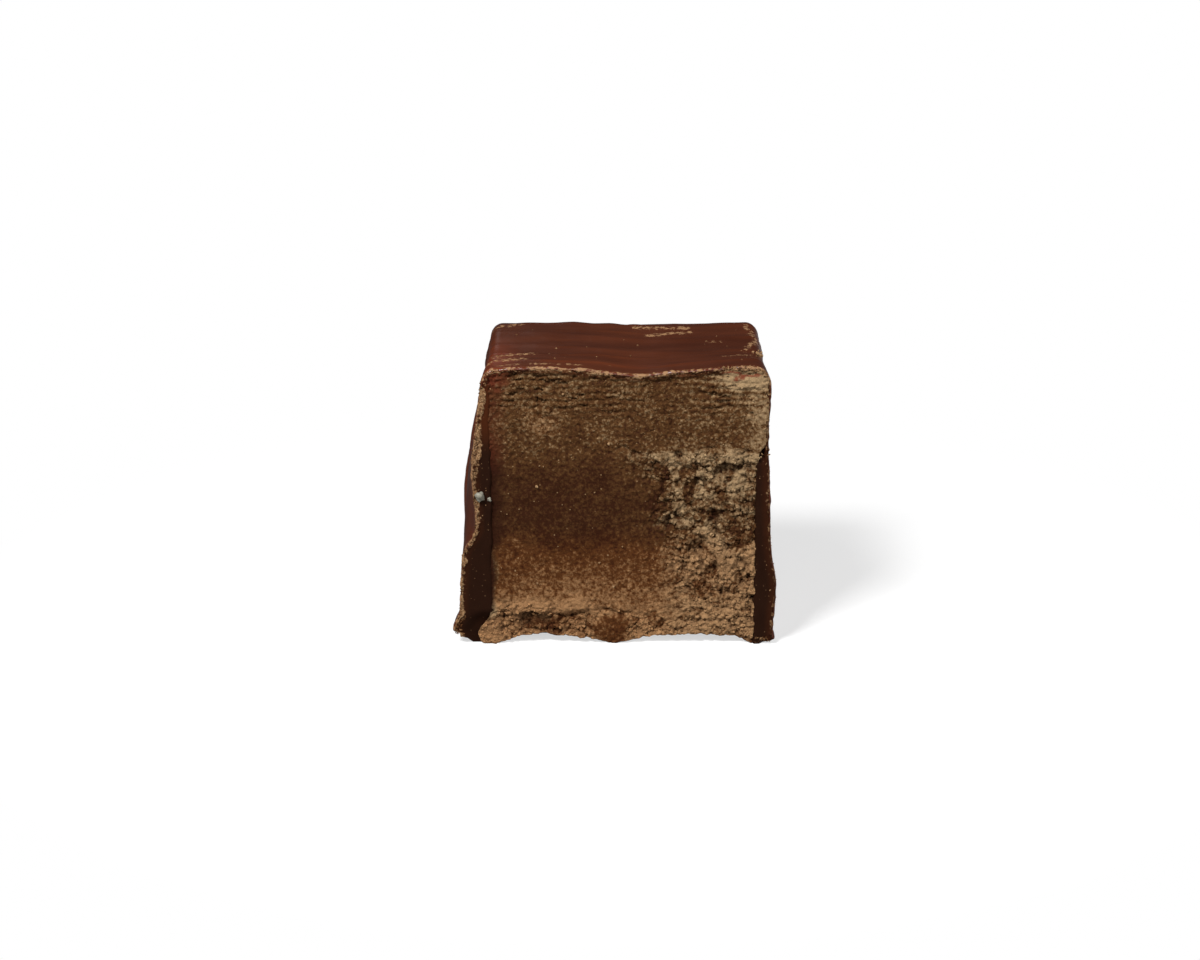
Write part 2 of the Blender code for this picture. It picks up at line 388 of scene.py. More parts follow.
# Each pit's depth, middle and half widths, across and up
PITS = (
    (0.5, (10.3, 18.2), (1.7, 0.7)),
    (0.38, (7.8, 16.9), (0.7, 0.7)),
    (0.4, (7.6, 10.2), (0.8, 1.1)),
    (0.32, (11.9, 7.6), (0.7, 1.5)),
    (0.22, (-8.8, 2.5), (2.0, 0.8)),
    (0.25, (5.2, 13.1), (1.2, 0.6)),
    (0.25, (12.1, 14.0), (0.5, 1.8)),
)

# The same for each lump, with how far it stands out
LUMPS = (
    (0.26, (9.9, 9.9), (0.9, 1.3)),
    (0.2, (11.2, 8.2), (0.5, 1.4)),
    (0.2, (7.8, 8.4), (0.8, 0.9)),
    (0.2, (10.3, 19.3), (1.9, 0.5)),
    (0.2, (10.2, 2.6), (1.6, 0.9)),
)


def outline_drop(across):
    """How far the top edge of the cut comes down at its rounded corners."""
    past = np.clip(np.maximum(across - (OUTER_RIGHT - TOP_RADIUS), -across - (OUTER_LEFT - TOP_RADIUS)), 0.0, 1.55)
    return TOP_RADIUS - np.sqrt(TOP_RADIUS**2 - past**2)


def face_left(height):
    """The fudge's left border on the cut: straight, with a lump pressed over the foot of the coat."""
    along = np.stack((height, 0.0 * height), axis=-1)
    lump = 1.35 * hill(height, 0.9, 1.4)
    above = 0.35 * smooth_step(18.5, 21.5, height)
    return -FILLING_LEFT - 0.45 - lump - above + 0.1 * rough_noise(along, 1.1, 31)


def face_right(height):
    """Its right border: straight below, and smeared over the coat's rim above."""
    along = np.stack((height, 0.0 * height), axis=-1)
    smeared = 1.0 * smooth_step(18.4, 21.4, height + 0.7 * soft_noise(along, 1.2, 34))
    corner = 1.1 * smooth_step(27.0, 28.3, height)
    return FILLING_RIGHT + 0.35 + smeared - corner + 0.12 * rough_noise(along, 0.9, 33)


def face_top(across):
    """Its top border, just under the coat's top edge."""
    along = np.stack((across, 0.0 * across), axis=-1)
    return OUTER_HEIGHT - 0.16 + top_wave(across, 0.0) - outline_drop(across) + 0.09 * rough_noise(along, 0.8, 35)


def face_bottom(across):
    """Its lower border: chipped, except at a lump on the left and a lobe near the middle."""
    along = np.stack((across, 0.0 * across), axis=-1)
    lobes = np.maximum(hill(across, -13.0, 2.2), 0.97 * hill(across, -0.9, 2.5) ** 0.7)
    chipped = 0.92 - 0.8 * smooth_step(11.0, 13.0, across)
    return np.clip(chipped * (1.0 - lobes) + 0.13 * rough_noise(along, 1.1, 36), 0.02, None)


def textures(bent):
    """Where each texture of the cut is, from 0 to 1: the moist heart, the upper part, the layers at its
    top, the crumbly right part and foot, the foot alone, and a smooth blob at the foot."""
    x, z = bent[..., 0], bent[..., 1]
    moist = patch(bent, (-4.6, 14.2), (8.4, 6.2), 0.6)
    upper = smooth_step(16.0, 20.5, z)
    layered = smooth_step(22.6, 25.6, z) * (1.0 - 0.6 * patch(bent, (3.5, 26.0), (4.0, 2.5)))
    right = smooth_step(0.8, 5.6, x + 0.3 * (z - 13.0)) * (1.0 - smooth_step(19.2, 20.2, z))
    bottom = 1.0 - smooth_step(2.4, 4.4, z + 0.1 * x)
    blob = patch(bent, (-0.7, 1.2), (1.5, 1.5), 0.3)
    crumbly = np.maximum(right, bottom) * (1.0 - blob)
    return moist, upper, layered, crumbly, bottom, blob


def ledges(place, shake):
    """The ledge across the right half and the gash under it, then the ledge along the foot and its
    undercut, each from 0 to 1. Each ledge follows a wavering line, and the gash comes and goes."""
    across, height = place[..., 0], place[..., 1]
    line = 20.0 + 0.25 * np.sin(0.8 * across + 0.5) + 0.35 * soft_noise(place[..., :1], 1.4, 93)
    line = line + 0.12 * shake[..., 0]
    over = smooth_step(-1.6, 0.6, across)
    shelf = over * hill(height, line - 0.6, 0.8) * smooth_step(-0.9, 0.5, soft_noise(place, 2.4, 99))
    gash = over * hill(height, line + 0.08, 0.15) * smooth_step(-0.35, 0.3, soft_noise(place, 1.7, 94))
    foot_line = 3.9 + 0.09 * across + 0.4 * soft_noise(place[..., :1], 1.8, 95) + 0.12 * shake[..., 1]
    foot_over = 1.0 - smooth_step(-3.6, -2.4, across)
    foot_shelf = foot_over * hill(height, foot_line + 0.6, 0.9)
    undercut = foot_over * smooth_step(foot_line + 0.1, foot_line - 0.4, height) * smooth_step(0.4, 1.4, height)
    return shelf, gash, foot_shelf, undercut


def smeared_chocolate(place, ragged, below_top):
    """Where the knife smeared chocolate over the fudge, and where that lies thin: beside the left band,
    along the top edge and in a streak at each upper corner. Under the ledge of the foot the same dark chocolate
    colour is painted shade."""
    across, height = place[..., 0], place[..., 1]
    border = 0.35 * soft_noise(place, 1.2, 98)
    fading = 1.7 * smooth_step(8.0, 13.0, height)
    beside = 1.0 - smooth_step(-12.9 + border, -12.1 + fading + border, across)
    beside = beside * smooth_step(2.6, 4.4, height) * (1.0 - 0.55 * smooth_step(19.0, 23.0, height))
    edge = 0.4 * smooth_step(0.6, 0.2, below_top) * smooth_step(10.5, 9.0, across)
    streak = patch(ragged, (11.6, 27.9), (1.7, 0.22))
    left_corner = patch(ragged, (-12.3, 27.2), (1.6, 0.9))
    # Painted shade: the hollow under the foot's ledge takes the dark chocolate colour
    under_ledge_shade = patch(ragged, (-8.8, 2.5), (2.2, 0.8))
    corner = 0.9 * streak + 0.45 * left_corner + 0.4 * under_ledge_shade
    thin = 0.45 * smooth_step(17.0, 22.0, height) + streak + 0.2 * left_corner
    return np.clip(np.maximum(beside, edge) + corner, 0.0, 1.0), np.clip(thin, 0.0, 1.0)


def cut_fields(across, height, sizes):
    """The cut face at each place: how far it lies behind the cut in millimetres, and fields that say how
    pale it is (dry, with painted highlights on grain crowns and ledges), how much painted shade lies in
    its pits, cracks, crevices and undercuts, how much chocolate is smeared on it and how thinly (with
    painted shade under the foot's ledge), how grainy and how warm in colour. The depth adds up a slow
    swell, domes of grains and clumps that grow where the fudge is crumbly, short level cracks near the
    top, two ledges, pits with ragged edges and a few lumps."""
    place = np.stack((across, height), axis=-1)
    bend = np.stack([rough_noise(place, 2.6, seed) for seed in (41, 42)], axis=-1)
    shake = np.stack([rough_noise(place, 0.5, seed, 2) for seed in (47, 48)], axis=-1)
    bent = place + 0.55 * bend
    x, z = bent[..., 0], bent[..., 1]
    moist, upper, layered, crumbly, bottom, blob = textures(bent)

    # Domes of grains and clumps, with their edges shaken
    fine = grains(place + 0.07 * shake, sizes.grain, 50, 0.95)
    coarse = grains(place + 0.12 * shake + 0.1 * bend, 1.5 * sizes.grain, 60, 0.95)
    clump = grains(bent + 0.2 * shake, sizes.clump, 70)
    fine_dome = 1.0 - 1.2 * np.clip(fine[0] / (0.6 * sizes.grain), 0.0, 1.35) ** 1.2
    coarse_dome = 1.0 - 1.1 * np.clip(coarse[0] / (0.6 * 1.5 * sizes.grain), 0.0, 1.35) ** 1.3
    clump_dome = 1.0 - np.clip(clump[0] / (0.62 * sizes.clump), 0.0, 1.3) ** 2
    missing = smooth_step(0.6, 0.75, coarse[2]) * np.clip(coarse_dome, 0.0, 1.0)
    open_texture = rough_noise(place + 0.2 * bend, 1.15, 81)
    holes = smooth_step(0.25, 0.95, open_texture)

    depth = 0.2 + 0.1 * soft_noise(place, 6.0, 43) + 0.05 * rough_noise(place, 1.3, 44)
    depth = depth + (0.008 + 0.016 * upper + 0.04 * crumbly) * rough_noise(place, 0.3, 49, 2)
    fineness = 0.018 + 0.022 * upper + 0.05 * crumbly + 0.014 * (1.0 - moist)
    depth = depth - fineness * fine_dome * (0.3 + 1.4 * fine[2])
    depth = depth - crumbly * (0.16 * coarse_dome * (0.1 + 1.4 * coarse[2]) + 0.1 * clump_dome)
    clump_gap = crumbly * hill(clump[1] - clump[0], 0.0, 0.16)
    depth = depth + 0.12 * clump_gap + crumbly * (0.22 * missing + 0.3 * holes * (1.0 - 0.6 * bottom) + 0.12)

    # Level cracks near the top, and the thin layers between them
    level = place * (0.4, 1.0) + 0.12 * bend
    crack = smooth_step(0.3, 0.75, rough_noise(level, 0.36, 91)) * (0.3 + 0.7 * layered)
    torn = upper * (1.0 - crumbly) * smooth_step(-12.4, -10.6, across)
    layers = np.sin(2.0 * np.pi * (height + 0.2 * soft_noise(place, 3.0, 92) + 0.05 * bend[..., 0]) / 0.66)
    depth = depth + torn * crack * (0.07 + 0.16 * layered) + 0.05 * layered * layers

    shelf, gash, foot_shelf, undercut = ledges(place, shake)
    depth = depth - 0.16 * shelf + 0.24 * gash - 0.1 * foot_shelf + 0.22 * undercut

    # Pits, and lumps that stand out
    ragged = place + 0.42 * np.stack([rough_noise(place, 1.0, seed, 4) for seed in (45, 46)], axis=-1)
    pits = sum(amount * patch(ragged, middle, spread) for amount, middle, spread in PITS)
    lumps = sum(amount * patch(ragged, middle, spread, 0.6) for amount, middle, spread in LUMPS)
    left_lump = patch(ragged, (-12.9, 1.4), (1.5, 1.2), 0.5)
    lumps = lumps + 0.22 * left_lump + 0.1 * blob
    torn_corner = patch(ragged, (12.3, 27.3), (2.4, 0.9), 0.6)
    lumps = lumps + 0.22 * torn_corner
    ring = np.sqrt(((place - (5.5, 16.9)) ** 2).sum(axis=-1))
    ring_wall = hill(ring, 0.6, 0.17)
    depth = depth + pits - lumps - 0.1 * ring_wall + 0.1 * hill(ring, 0.0, 0.35)

    # Pressed flat over the coat's rim above, and at the lump on the left
    below_top = face_top(across) - height
    over_rim = smooth_step(12.6, 13.1, across) * smooth_step(18.0, 20.0, height)
    smeared = np.maximum(over_rim, smooth_step(0.7, 0.3, below_top))
    smeared = np.maximum(smeared, patch(place, (-13.4, 0.8), (1.8, 2.0)))
    depth = depth * (1.0 - 0.6 * smeared) - 0.05 * smeared - 0.08 * over_rim
    depth = np.maximum(depth, -0.12 + 0.05 * fine[2])

    warm_spot = patch(bent, (-7.6, 23.2), (1.6, 1.3), 0.6)

    # Colour: how grainy, how much painted shade lies in pits, cracks and crevices, how pale (dry, with painted
    # highlights on grain crowns and ledges), and how much chocolate is smeared on
    grainy = np.clip(0.25 + 0.45 * upper + 0.9 * crumbly - 0.2 * moist, 0.0, 1.0)
    # Painted shade in the crevices between coarse grains
    crevice_shade = crumbly * np.clip(1.0 - (coarse[1] - coarse[0]) / (0.35 * sizes.grain), 0.0, 1.0)
    # Painted shade: pits, holes, missing grains, the gash, cracks, gaps between clumps, the undercut, crevices and
    # the hollows between grains are darkened
    recess_shade = 0.9 * pits + crumbly * (0.7 * holes + 0.45 * missing) + 0.5 * gash + 0.4 * torn * crack + 0.3 * clump_gap
    recess_shade = recess_shade + 0.35 * undercut + 0.4 * crevice_shade + 0.3 * grainy * np.clip(-fine_dome, 0.0, 1.0)
    dry = (
        0.11
        + 0.18 * upper
        + 0.16 * (1.0 - moist)
        + 0.24 * crumbly
        + 0.26 * (1.0 - smooth_step(8.4, 12.0, z))
        + 0.14 * (1.0 - smooth_step(3.0, 9.0, z))
        + 0.08 * (1.0 - smooth_step(2.5, 5.5, z))
        # Painted highlights: the two ledges are made paler where they stand out
        + 0.22 * shelf
        + 0.28 * foot_shelf
        + 0.3 * np.clip(lumps / 0.2, 0.0, 1.0)
        + 0.2 * ring_wall
        + 0.26 * smooth_step(11.6, 12.8, across) * smooth_step(19.0, 21.0, height)
        + 0.14 * layered * layers * smooth_step(-0.5, 0.5, rough_noise(level, 1.1, 96))
        + 0.08 * soft_noise(place, 2.2, 97)
        + (0.08 + 0.1 * crumbly) * rough_noise(place, 0.8, 85)
        + 0.2 * crumbly * rough_noise(place, 2.8, 86, 2)
        + 0.14 * warm_spot
        # Each clump has a tone of its own, and a painted highlight on its crown
        + crumbly * (0.5 * (clump[2] - 0.5) + 0.1 * clump_dome)
        + 0.5 * torn_corner
        - 0.5 * blob
        # Painted shade: darker under the ledge of the foot
        - 0.42 * patch(bent, (-7.6, 1.9), (4.0, 1.2), 0.6)
        - 0.18 * patch(bent, (3.6, 1.6), (2.6, 1.2), 0.7)
        - 0.16 * patch(bent, (9.2, 5.2), (1.8, 1.2), 0.7)
    )
    tone = 0.6 * fine[2] + 0.4 * coarse[2] - 0.5
    # Each grain has a tone of its own, with a painted highlight on its crown and painted shade between grains
    dry = dry + (0.1 + 0.28 * grainy + 0.6 * crumbly) * (0.3 * tone + 0.2 * fine_dome)
    smear_and_shade, thin = smeared_chocolate(place, ragged, below_top - 0.12 * shake[..., 0])
    warm = smooth_step(13.0, 9.0, z) * (1.0 - 0.3 * smooth_step(2.0, 7.0, x))
    warm = warm * np.maximum(smooth_step(-12.8, -12.2, x), smooth_step(3.2, 2.2, z))
    fields = {
        "dry": np.clip(dry, 0.0, 1.3),
        "pit_shade": np.clip(0.75 * recess_shade * (1.0 - 0.35 * bottom), 0.0, 1.0),
        "smear_and_shade": smear_and_shade,
        "grainy": grainy,
        "warm": np.clip(warm + 0.5 * warm_spot, 0.0, 1.0),
        "thin": thin,
    }
    return depth, fields


def fudge_block(sizes):
    """The fudge as one closed skin: the cut face is a grid between its four borders, moved back by the
    relief, and its rim is drawn back in loops to a plain block."""
    u, v = np.meshgrid(np.linspace(0.0, 1.0, FACE_COLUMNS), np.linspace(0.0, 1.0, FACE_ROWS))
    rough_height = FILLING_HEIGHT * v
    left, right = face_left(rough_height), face_right(rough_height)
    across = left + (right - left) * u
    low, high = face_bottom(across), face_top(across)
    height = low + (high - low) * v
    depth, fields = cut_fields(across, height, sizes)
    front = np.stack((across, depth, height), axis=-1)

    index = np.arange(u.size).reshape(u.shape)
    loop = np.concatenate((index[0], index[1:, -1], index[-1, -2::-1], index[-2:0:-1, 0]))
    flat = front.reshape(-1, 3)
    rim = flat[loop]
    block = rim.copy()
    block[:, 0] = np.clip(rim[:, 0], -FILLING_LEFT - 0.35, FILLING_RIGHT + 0.35)
    block[:, 2] = np.clip(rim[:, 2], 0.0, FILLING_HEIGHT + 0.3)
    foot = (1.0 - smooth_step(1.5, 2.5, rim[:, 2])) * (np.abs(rim[:, 2] - face_bottom(rim[:, 0])) < 0.2)
    points, faces = [flat], [quads(index)]
    previous, count = loop, len(flat)
    for back, sink in ((0.55, 0.1), (1.2, 0.3), (2.0, 0.65), (2.9, 1.0), (8.0, 1.0), (DEPTH - COAT_BACK - 0.05, 1.0)):
        ring = block + 0.0
        ring[:, 2] = np.where(foot > 0.0, block[:, 2] * (1.0 - sink * foot), block[:, 2])
        ring[:, 1] = np.maximum(back, rim[:, 1] + back * 0.6) if back < 1.0 else back
        following = count + np.arange(len(loop))
        points.append(ring)
        faces.append(quads(np.stack((np.append(previous, previous[0]), np.append(following, following[0])))))
        previous, count = following, count + len(loop)
    points = np.concatenate(points)
    faces = np.concatenate(faces).tolist() + [previous.tolist()]
    extra = len(points) - len(flat)
    hidden = {"dry": 0.45, "grainy": 0.6}
    for field, values in fields.items():
        fields[field] = np.concatenate((values.ravel(), np.full(extra, hidden.get(field, 0.0))))
    return points, faces, fields


def field_node(tree, field):
    """Reads one of a piece's fields."""
    return node(tree, "ShaderNodeAttribute", attribute_name=field).outputs["Fac"]


def mix_node(tree, share, first, second, **settings):
    """Mixes two colours, each an output or a linear red, green and blue."""
    sockets = {0: share}
    for socket, colour in ((6, first), (7, second)):
        sockets[socket] = colour if isinstance(colour, bpy.types.NodeSocket) else (*colour, 1.0)
    return node(tree, "ShaderNodeMix", sockets, data_type="RGBA", **settings).outputs[2]


def fudge_colour(tree, dryness, warm, colours):
    """The fudge's colour from moist to dry, and redder where it is warm."""
    ramp = node(tree, "ShaderNodeValToRGB", {"Fac": dryness})
    stops = ramp.color_ramp.elements
    stops[0].color = (*colours.moist_fudge, 1.0)
    stops[1].color = (*colours.dry_fudge, 1.0)
    stops.new(0.45).color = (*colours.grained_fudge, 1.0)
    return mix_node(tree, warm, ramp.outputs["Color"], (1.0, 0.8, 0.68), blend_type="MULTIPLY")


def fudge_material(colours):
    """Crystallised sugar fudge, cut: dull and grainy, moist and dark in the middle, pale where it is dry
    and crumbly, with painted glints on fine crystals, painted shade in its pits and between its grains, and chocolate
    dragged along by the knife."""
    material, tree, shader = new_material("grained_sugar_fudge_cut")
    place = node(tree, "ShaderNodeTexCoord").outputs["Object"]
    grainy, smear_and_shade = field_node(tree, "grainy"), field_node(tree, "smear_and_shade")
    # Mottling 0.4 mm wide, crystals 0.15 mm wide, and domed grains 0.32 mm wide with a tone of their own, painted
    # lighter in their middles with painted shade towards their edges; the same domes drive the bump
    mottle = node(tree, "ShaderNodeTexNoise", {"Vector": place, "Scale": per_metre(0.4), "Detail": 3.0})
    uneven = node(tree, "ShaderNodeMath", {0: mottle.outputs["Fac"], 1: 1.1, 2: -0.55}, operation="MULTIPLY_ADD")
    crystal = node(tree, "ShaderNodeTexNoise", {"Vector": place, "Scale": per_metre(0.15), "Detail": 2.0})
    finer = node(tree, "ShaderNodeMath", {0: crystal.outputs["Fac"], 1: 0.7, 2: -0.35}, operation="MULTIPLY_ADD")
    bend = (0.35 * MM, 0.35 * MM, 0.35 * MM)
    bent = node(
        tree, "ShaderNodeVectorMath", {0: mottle.outputs["Color"], 1: bend, 2: place}, operation="MULTIPLY_ADD"
    )
    grain = node(tree, "ShaderNodeTexVoronoi", {"Vector": bent.outputs[0], "Scale": per_metre(0.32)})
    tone = node(tree, "ShaderNodeSeparateColor", {0: grain.outputs["Color"]})
    tone = node(tree, "ShaderNodeMath", {0: tone.outputs[0], 1: 0.25, 2: 0.28}, operation="MULTIPLY_ADD")
    grain_dome_and_shade = node(tree, "ShaderNodeMath", {0: tone.outputs[0], 1: grain.outputs["Distance"]}, operation="SUBTRACT")
    share = node(tree, "ShaderNodeMath", {0: grainy, 1: 0.28, 2: 0.22}, operation="MULTIPLY_ADD")
    grain_dome_and_shade = node(tree, "ShaderNodeMath", {0: grain_dome_and_shade.outputs[0], 1: share.outputs[0]}, operation="MULTIPLY")
    uneven = node(tree, "ShaderNodeMath", {0: uneven.outputs[0], 1: finer.outputs[0]})
    uneven = node(tree, "ShaderNodeMath", {0: uneven.outputs[0], 1: grain_dome_and_shade.outputs[0]})
    dryness = node(tree, "ShaderNodeMath", {0: field_node(tree, "dry"), 1: uneven.outputs[0]}).outputs[0]
    fudge = fudge_colour(tree, dryness, field_node(tree, "warm"), colours)
    # Painted shade: the fudge darkens towards #311a0e in its pits, cracks, crevices and between its grains
    fudge = mix_node(tree, field_node(tree, "pit_shade"), fudge, linear("#311a0e"))
    # Chocolate smeared by the knife, and painted shade in the same colour under the foot's ledge, cover the fudge
    chocolate = mix_node(tree, field_node(tree, "thin"), linear("#2c150b"), linear("#6a2c1c"))
    cover = node(tree, "ShaderNodeMath", {0: uneven.outputs[0], 1: 0.4, 2: smear_and_shade}, operation="MULTIPLY_ADD")
    cover = node(tree, "ShaderNodeMath", {0: cover.outputs[0], 1: smear_and_shade}, operation="MINIMUM", use_clamp=True)
    coated = mix_node(tree, cover.outputs[0], fudge, chocolate)
    # Painted glints: bright specks up to 0.15 mm wide on single crystals
    spark = node(tree, "ShaderNodeTexVoronoi", {"Vector": place, "Scale": per_metre(0.9)})
    glint = node(tree, "ShaderNodeMapRange", {"Value": spark.outputs["Distance"], 1: 0.09, 2: 0.05, 3: 0.0, 4: 0.6})
    tree.links.new(mix_node(tree, glint.outputs[0], coated, linear("#b08f68")), shader.inputs["Base Color"])
    dullness = node(tree, "ShaderNodeMapRange", {"Value": dryness, 1: 0.0, 2: 0.6, 3: 0.62, 4: 0.88})
    tree.links.new(dullness.outputs[0], shader.inputs["Roughness"])
    shader.inputs["IOR"].default_value = 1.5
    shader.inputs["Specular IOR Level"].default_value = 0.05
    height = node(
        tree, "ShaderNodeMath", {0: crystal.outputs["Fac"], 1: 0.5, 2: grain_dome_and_shade.outputs[0]}, operation="MULTIPLY_ADD"
    )
    bump = node(tree, "ShaderNodeBump", {"Strength": 0.9, "Distance": 0.16 * MM, "Height": height.outputs[0]})
    tree.links.new(bump.outputs[0], shader.inputs["Normal"])
    return material


class FUDGE_OT_filling(bpy.types.Operator):
    """Makes the block of grained fudge with its cut face"""

    bl_idname = "fudge.filling"
    bl_label = "Fudge Filling"

    def execute(self, context):
        scene = context.scene
        points, faces, fields = fudge_block(scene.fudge_sizes)
        piece = add_piece("fudge", points, faces, (fudge_material(scene.fudge_colours),), fields, sharp=180.0)
        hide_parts("fudge_filling")
        return {"FINISHED"}


# The chocolate coat


def skin_relief(points, facing, sizes):
    """How far the set skin stands out beyond its ridges: soft ripples, flow lines across the top,
    pimples about 3 mm apart, and drops along the foot."""
    x, y, z = np.moveaxis(points, -1, 0)
    up = np.clip(facing[..., 2], 0.0, 1.0)
    ripples = 0.05 * soft_noise(points, 2.6, 101) + 0.015 * soft_noise(points, 0.9, 102)
    wander = 0.7 * soft_noise(points[..., :1], 5.0, 103) + 0.3 * np.sin(0.55 * x)
    crest = np.exp(-((np.sin(np.pi * (y + wander) / 2.7) / 0.2) ** 2))
    lines = 0.13 * crest * smooth_step(-0.6, 0.6, soft_noise(points, 5.0, 104))
    distance, _, number = grains(points, 3.1, 105)
    pimples = sizes.pimple * smooth_step(0.45, 0.95, number) * hill(distance, 0.0, 0.3)
    drops = 0.22 * soft_noise(points, 1.5, 106) * hill(z, 0.6, 0.9) * (1.0 - up)
    return ripples + up * lines + pimples * (1.0 - 0.7 * up) + drops


def rim_fields(outer, inner, share):
    """The coat where the knife went through, at each share of the way from its inner edge to its outer
    one: how far it lies behind the cut, how much it is scraped pale, and how thin it is. It is smooth,
    sinks under the fudge at its inner edge, and carries a rough scraped bead along its outer edge."""
    points = inner + (outer - inner) * share
    place = points[..., (0, 2)]
    x, z = place[..., 0], place[..., 1]
    width = np.sqrt(((outer - inner) ** 2).sum(axis=-1))
    from_edge = width * (1.0 - share[..., 0])
    from_fudge = width * share[..., 0]
    left = smooth_step(-11.0, -12.0, x)
    right = smooth_step(12.4, 13.0, x)
    bead_width = 0.2 + 0.16 * rough_noise(place, 1.1, 121) + left * (0.12 + 0.42 * hill(z, 20.2, 2.0))
    bead_width = bead_width - 0.1 * right - 0.12 * left * smooth_step(9.5, 7.0, z) + 0.04 * smooth_step(26.0, 27.0, z)
    bead = smooth_step(bead_width + 0.1, bead_width - 0.1, from_edge)
    depth = 0.05 + 0.05 * soft_noise(place, 3.0, 122) + 0.01 * rough_noise(place, 0.5, 123)
    depth = depth + 0.6 * smooth_step(0.5 + 0.15 * soft_noise(place, 0.9, 125), 0.1, from_fudge)
    depth = depth - bead * (0.07 + 0.1 * rough_noise(place, 0.45, 124))
    smeared = np.maximum(right * smooth_step(18.6, 20.4, z), smooth_step(26.9, 27.3, z) * smooth_step(14.2, 12.2, x))
    smeared = smeared * smooth_step(0.15, 0.4, from_edge)
    depth = depth + 0.55 * smeared + 0.5 * patch(place, (-13.4, 0.8), (1.9, 2.2)) * smooth_step(0.3, 0.8, from_edge)
    broken = 0.65 + 0.35 * smooth_step(-0.7, 0.4, soft_noise(place, 1.6, 126))
    strength = np.where(z > 26.5, broken, 0.95 * left + 0.5 * right)
    thinner = 0.35 * smooth_step(0.9, 0.1, from_edge)
    return depth, bead * strength, np.maximum(thinner, 0.9 * left * smooth_step(19.5, 23.0, z))


# The scrapes on the top: each one's two ends, across and behind the cut, its half width and its strength
SCRAPES = (
    ((-12.2, 1.2), (-4.0, 1.7), 0.24, 0.75),
    ((-12.8, 3.2), (-9.4, 3.4), 0.45, 0.85),
    ((-12.4, 4.4), (-8.8, 5.6), 0.45, 0.75),
    ((1.6, 14.8), (6.6, 14.2), 0.4, 0.95),
    ((2.8, 12.2), (6.9, 12.8), 0.38, 0.95),
    ((8.6, 9.8), (10.0, 9.6), 0.2, 0.7),
    ((12.0, 6.4), (13.6, 10.8), 0.3, 0.75),
    ((13.4, 10.8), (12.6, 15.2), 0.35, 0.75),
    ((9.8, 4.2), (12.6, 4.9), 0.2, 0.7),
    ((-13.6, 14.6), (-10.2, 15.6), 0.4, 0.7),
)


def scrapes(points):
    """Where the skin of the top was scraped pale: short strokes, each along a line with a soft edge."""
    x, y = points[..., 0], points[..., 1]
    total = 0.0
    for start, end, width, strength in SCRAPES:
        start, end = np.array(start), np.array(end)
        along = end - start
        share = np.clip(((x - start[0]) * along[0] + (y - start[1]) * along[1]) / (along @ along), 0.0, 1.0)
        gap = np.hypot(x - start[0] - share * along[0], y - start[1] - share * along[1])
        total = np.maximum(total, strength * smooth_step(2.0 * width, 0.3 * width, gap))
    return total


def outer_skin(sizes):
    """The coat's skin in arches from the lip at the cut, back along the walls and round the back edges:
    the plain arches, their outward directions, and the skin with its relief, ragged near the cut."""
    outside, facings = [], []

    def add(depth, inset=0.0, turn=0.0):
        points, facing = station(depth, inset, turn)
        outside.append(points)
        facings.append(facing)

    for turn in np.linspace(-np.pi / 2.0, 0.0, LIP_STATIONS + 1)[:-1]:
        add(LIP * (1.0 + np.sin(turn)), LIP * (1.0 - np.cos(turn)), turn)
    for along in np.linspace(0.0, 1.0, DEPTH_STATIONS) ** 1.3:
        add(LIP + (DEPTH - BACK_RADIUS - LIP) * along)
    for turn in np.linspace(0.0, np.pi / 2.0, ROUND_STATIONS + 1)[1:]:
        add(DEPTH - BACK_RADIUS * (1.0 - np.sin(turn)), BACK_RADIUS * (1.0 - np.cos(turn)), turn)
    outside, facings = np.stack(outside), np.stack(facings)
    skin = outside + facings * skin_relief(outside, facings, sizes)[..., None]
    near_cut = smooth_step(1.0, 0.0, outside[..., 1])
    return outside, facings, skin + facings * (near_cut * 0.09 * rough_noise(skin, 0.8, 131))[..., None]


def back_rows(left, right, sizes):
    """The back wall in level rows between the last arch's left and right halves, and its outward
    directions. Its ridges and relief fade in from both sides."""
    across = np.linspace(0.0, 1.0, TOP_POINTS)[None, 1:-1, None]
    back = left + (right - left) * across
    facing = np.broadcast_to(np.array((0.0, 1.0, 0.0)), back.shape)
    middle = smooth_step(0.0, 0.06, across[..., 0]) * smooth_step(1.0, 0.94, across[..., 0])
    plain = np.stack((back[..., 0], np.full(back.shape[:2], DEPTH), back[..., 2]), axis=-1)
    plain[..., 1] += back_wall(plain[..., 0], plain[..., 2])
    plain[..., 1] += skin_relief(plain, facing, sizes)
    back[..., 1] += (plain[..., 1] - back[..., 1]) * middle
    return back, facing


def turned_foot(points, outward):
    """The points with the foot turned under by a quarter round, an uneven edge, and the two toes of the
    cut lifted."""
    under = np.clip(BASE_RADIUS - points[:, 2], 0.0, BASE_RADIUS)
    points = points - outward * (BASE_RADIUS - np.sqrt(BASE_RADIUS**2 - under**2))[:, None] * (1, 1, 0)
    lift = np.clip(0.22 * rough_noise(points * (1, 1, 0), 1.6, 133), 0.0, None) * np.abs(outward[:, :2]).sum(axis=1)
    at_cut = smooth_step(4.0, 1.0, points[:, 1])
    toes = 0.75 * smooth_step(-14.6, -15.6, points[:, 0]) + 0.35 * smooth_step(13.6, 14.4, points[:, 0])
    points[:, 2] = points[:, 2] + (lift + at_cut * toes) * smooth_step(1.6, 0.0, points[:, 2])
    return points


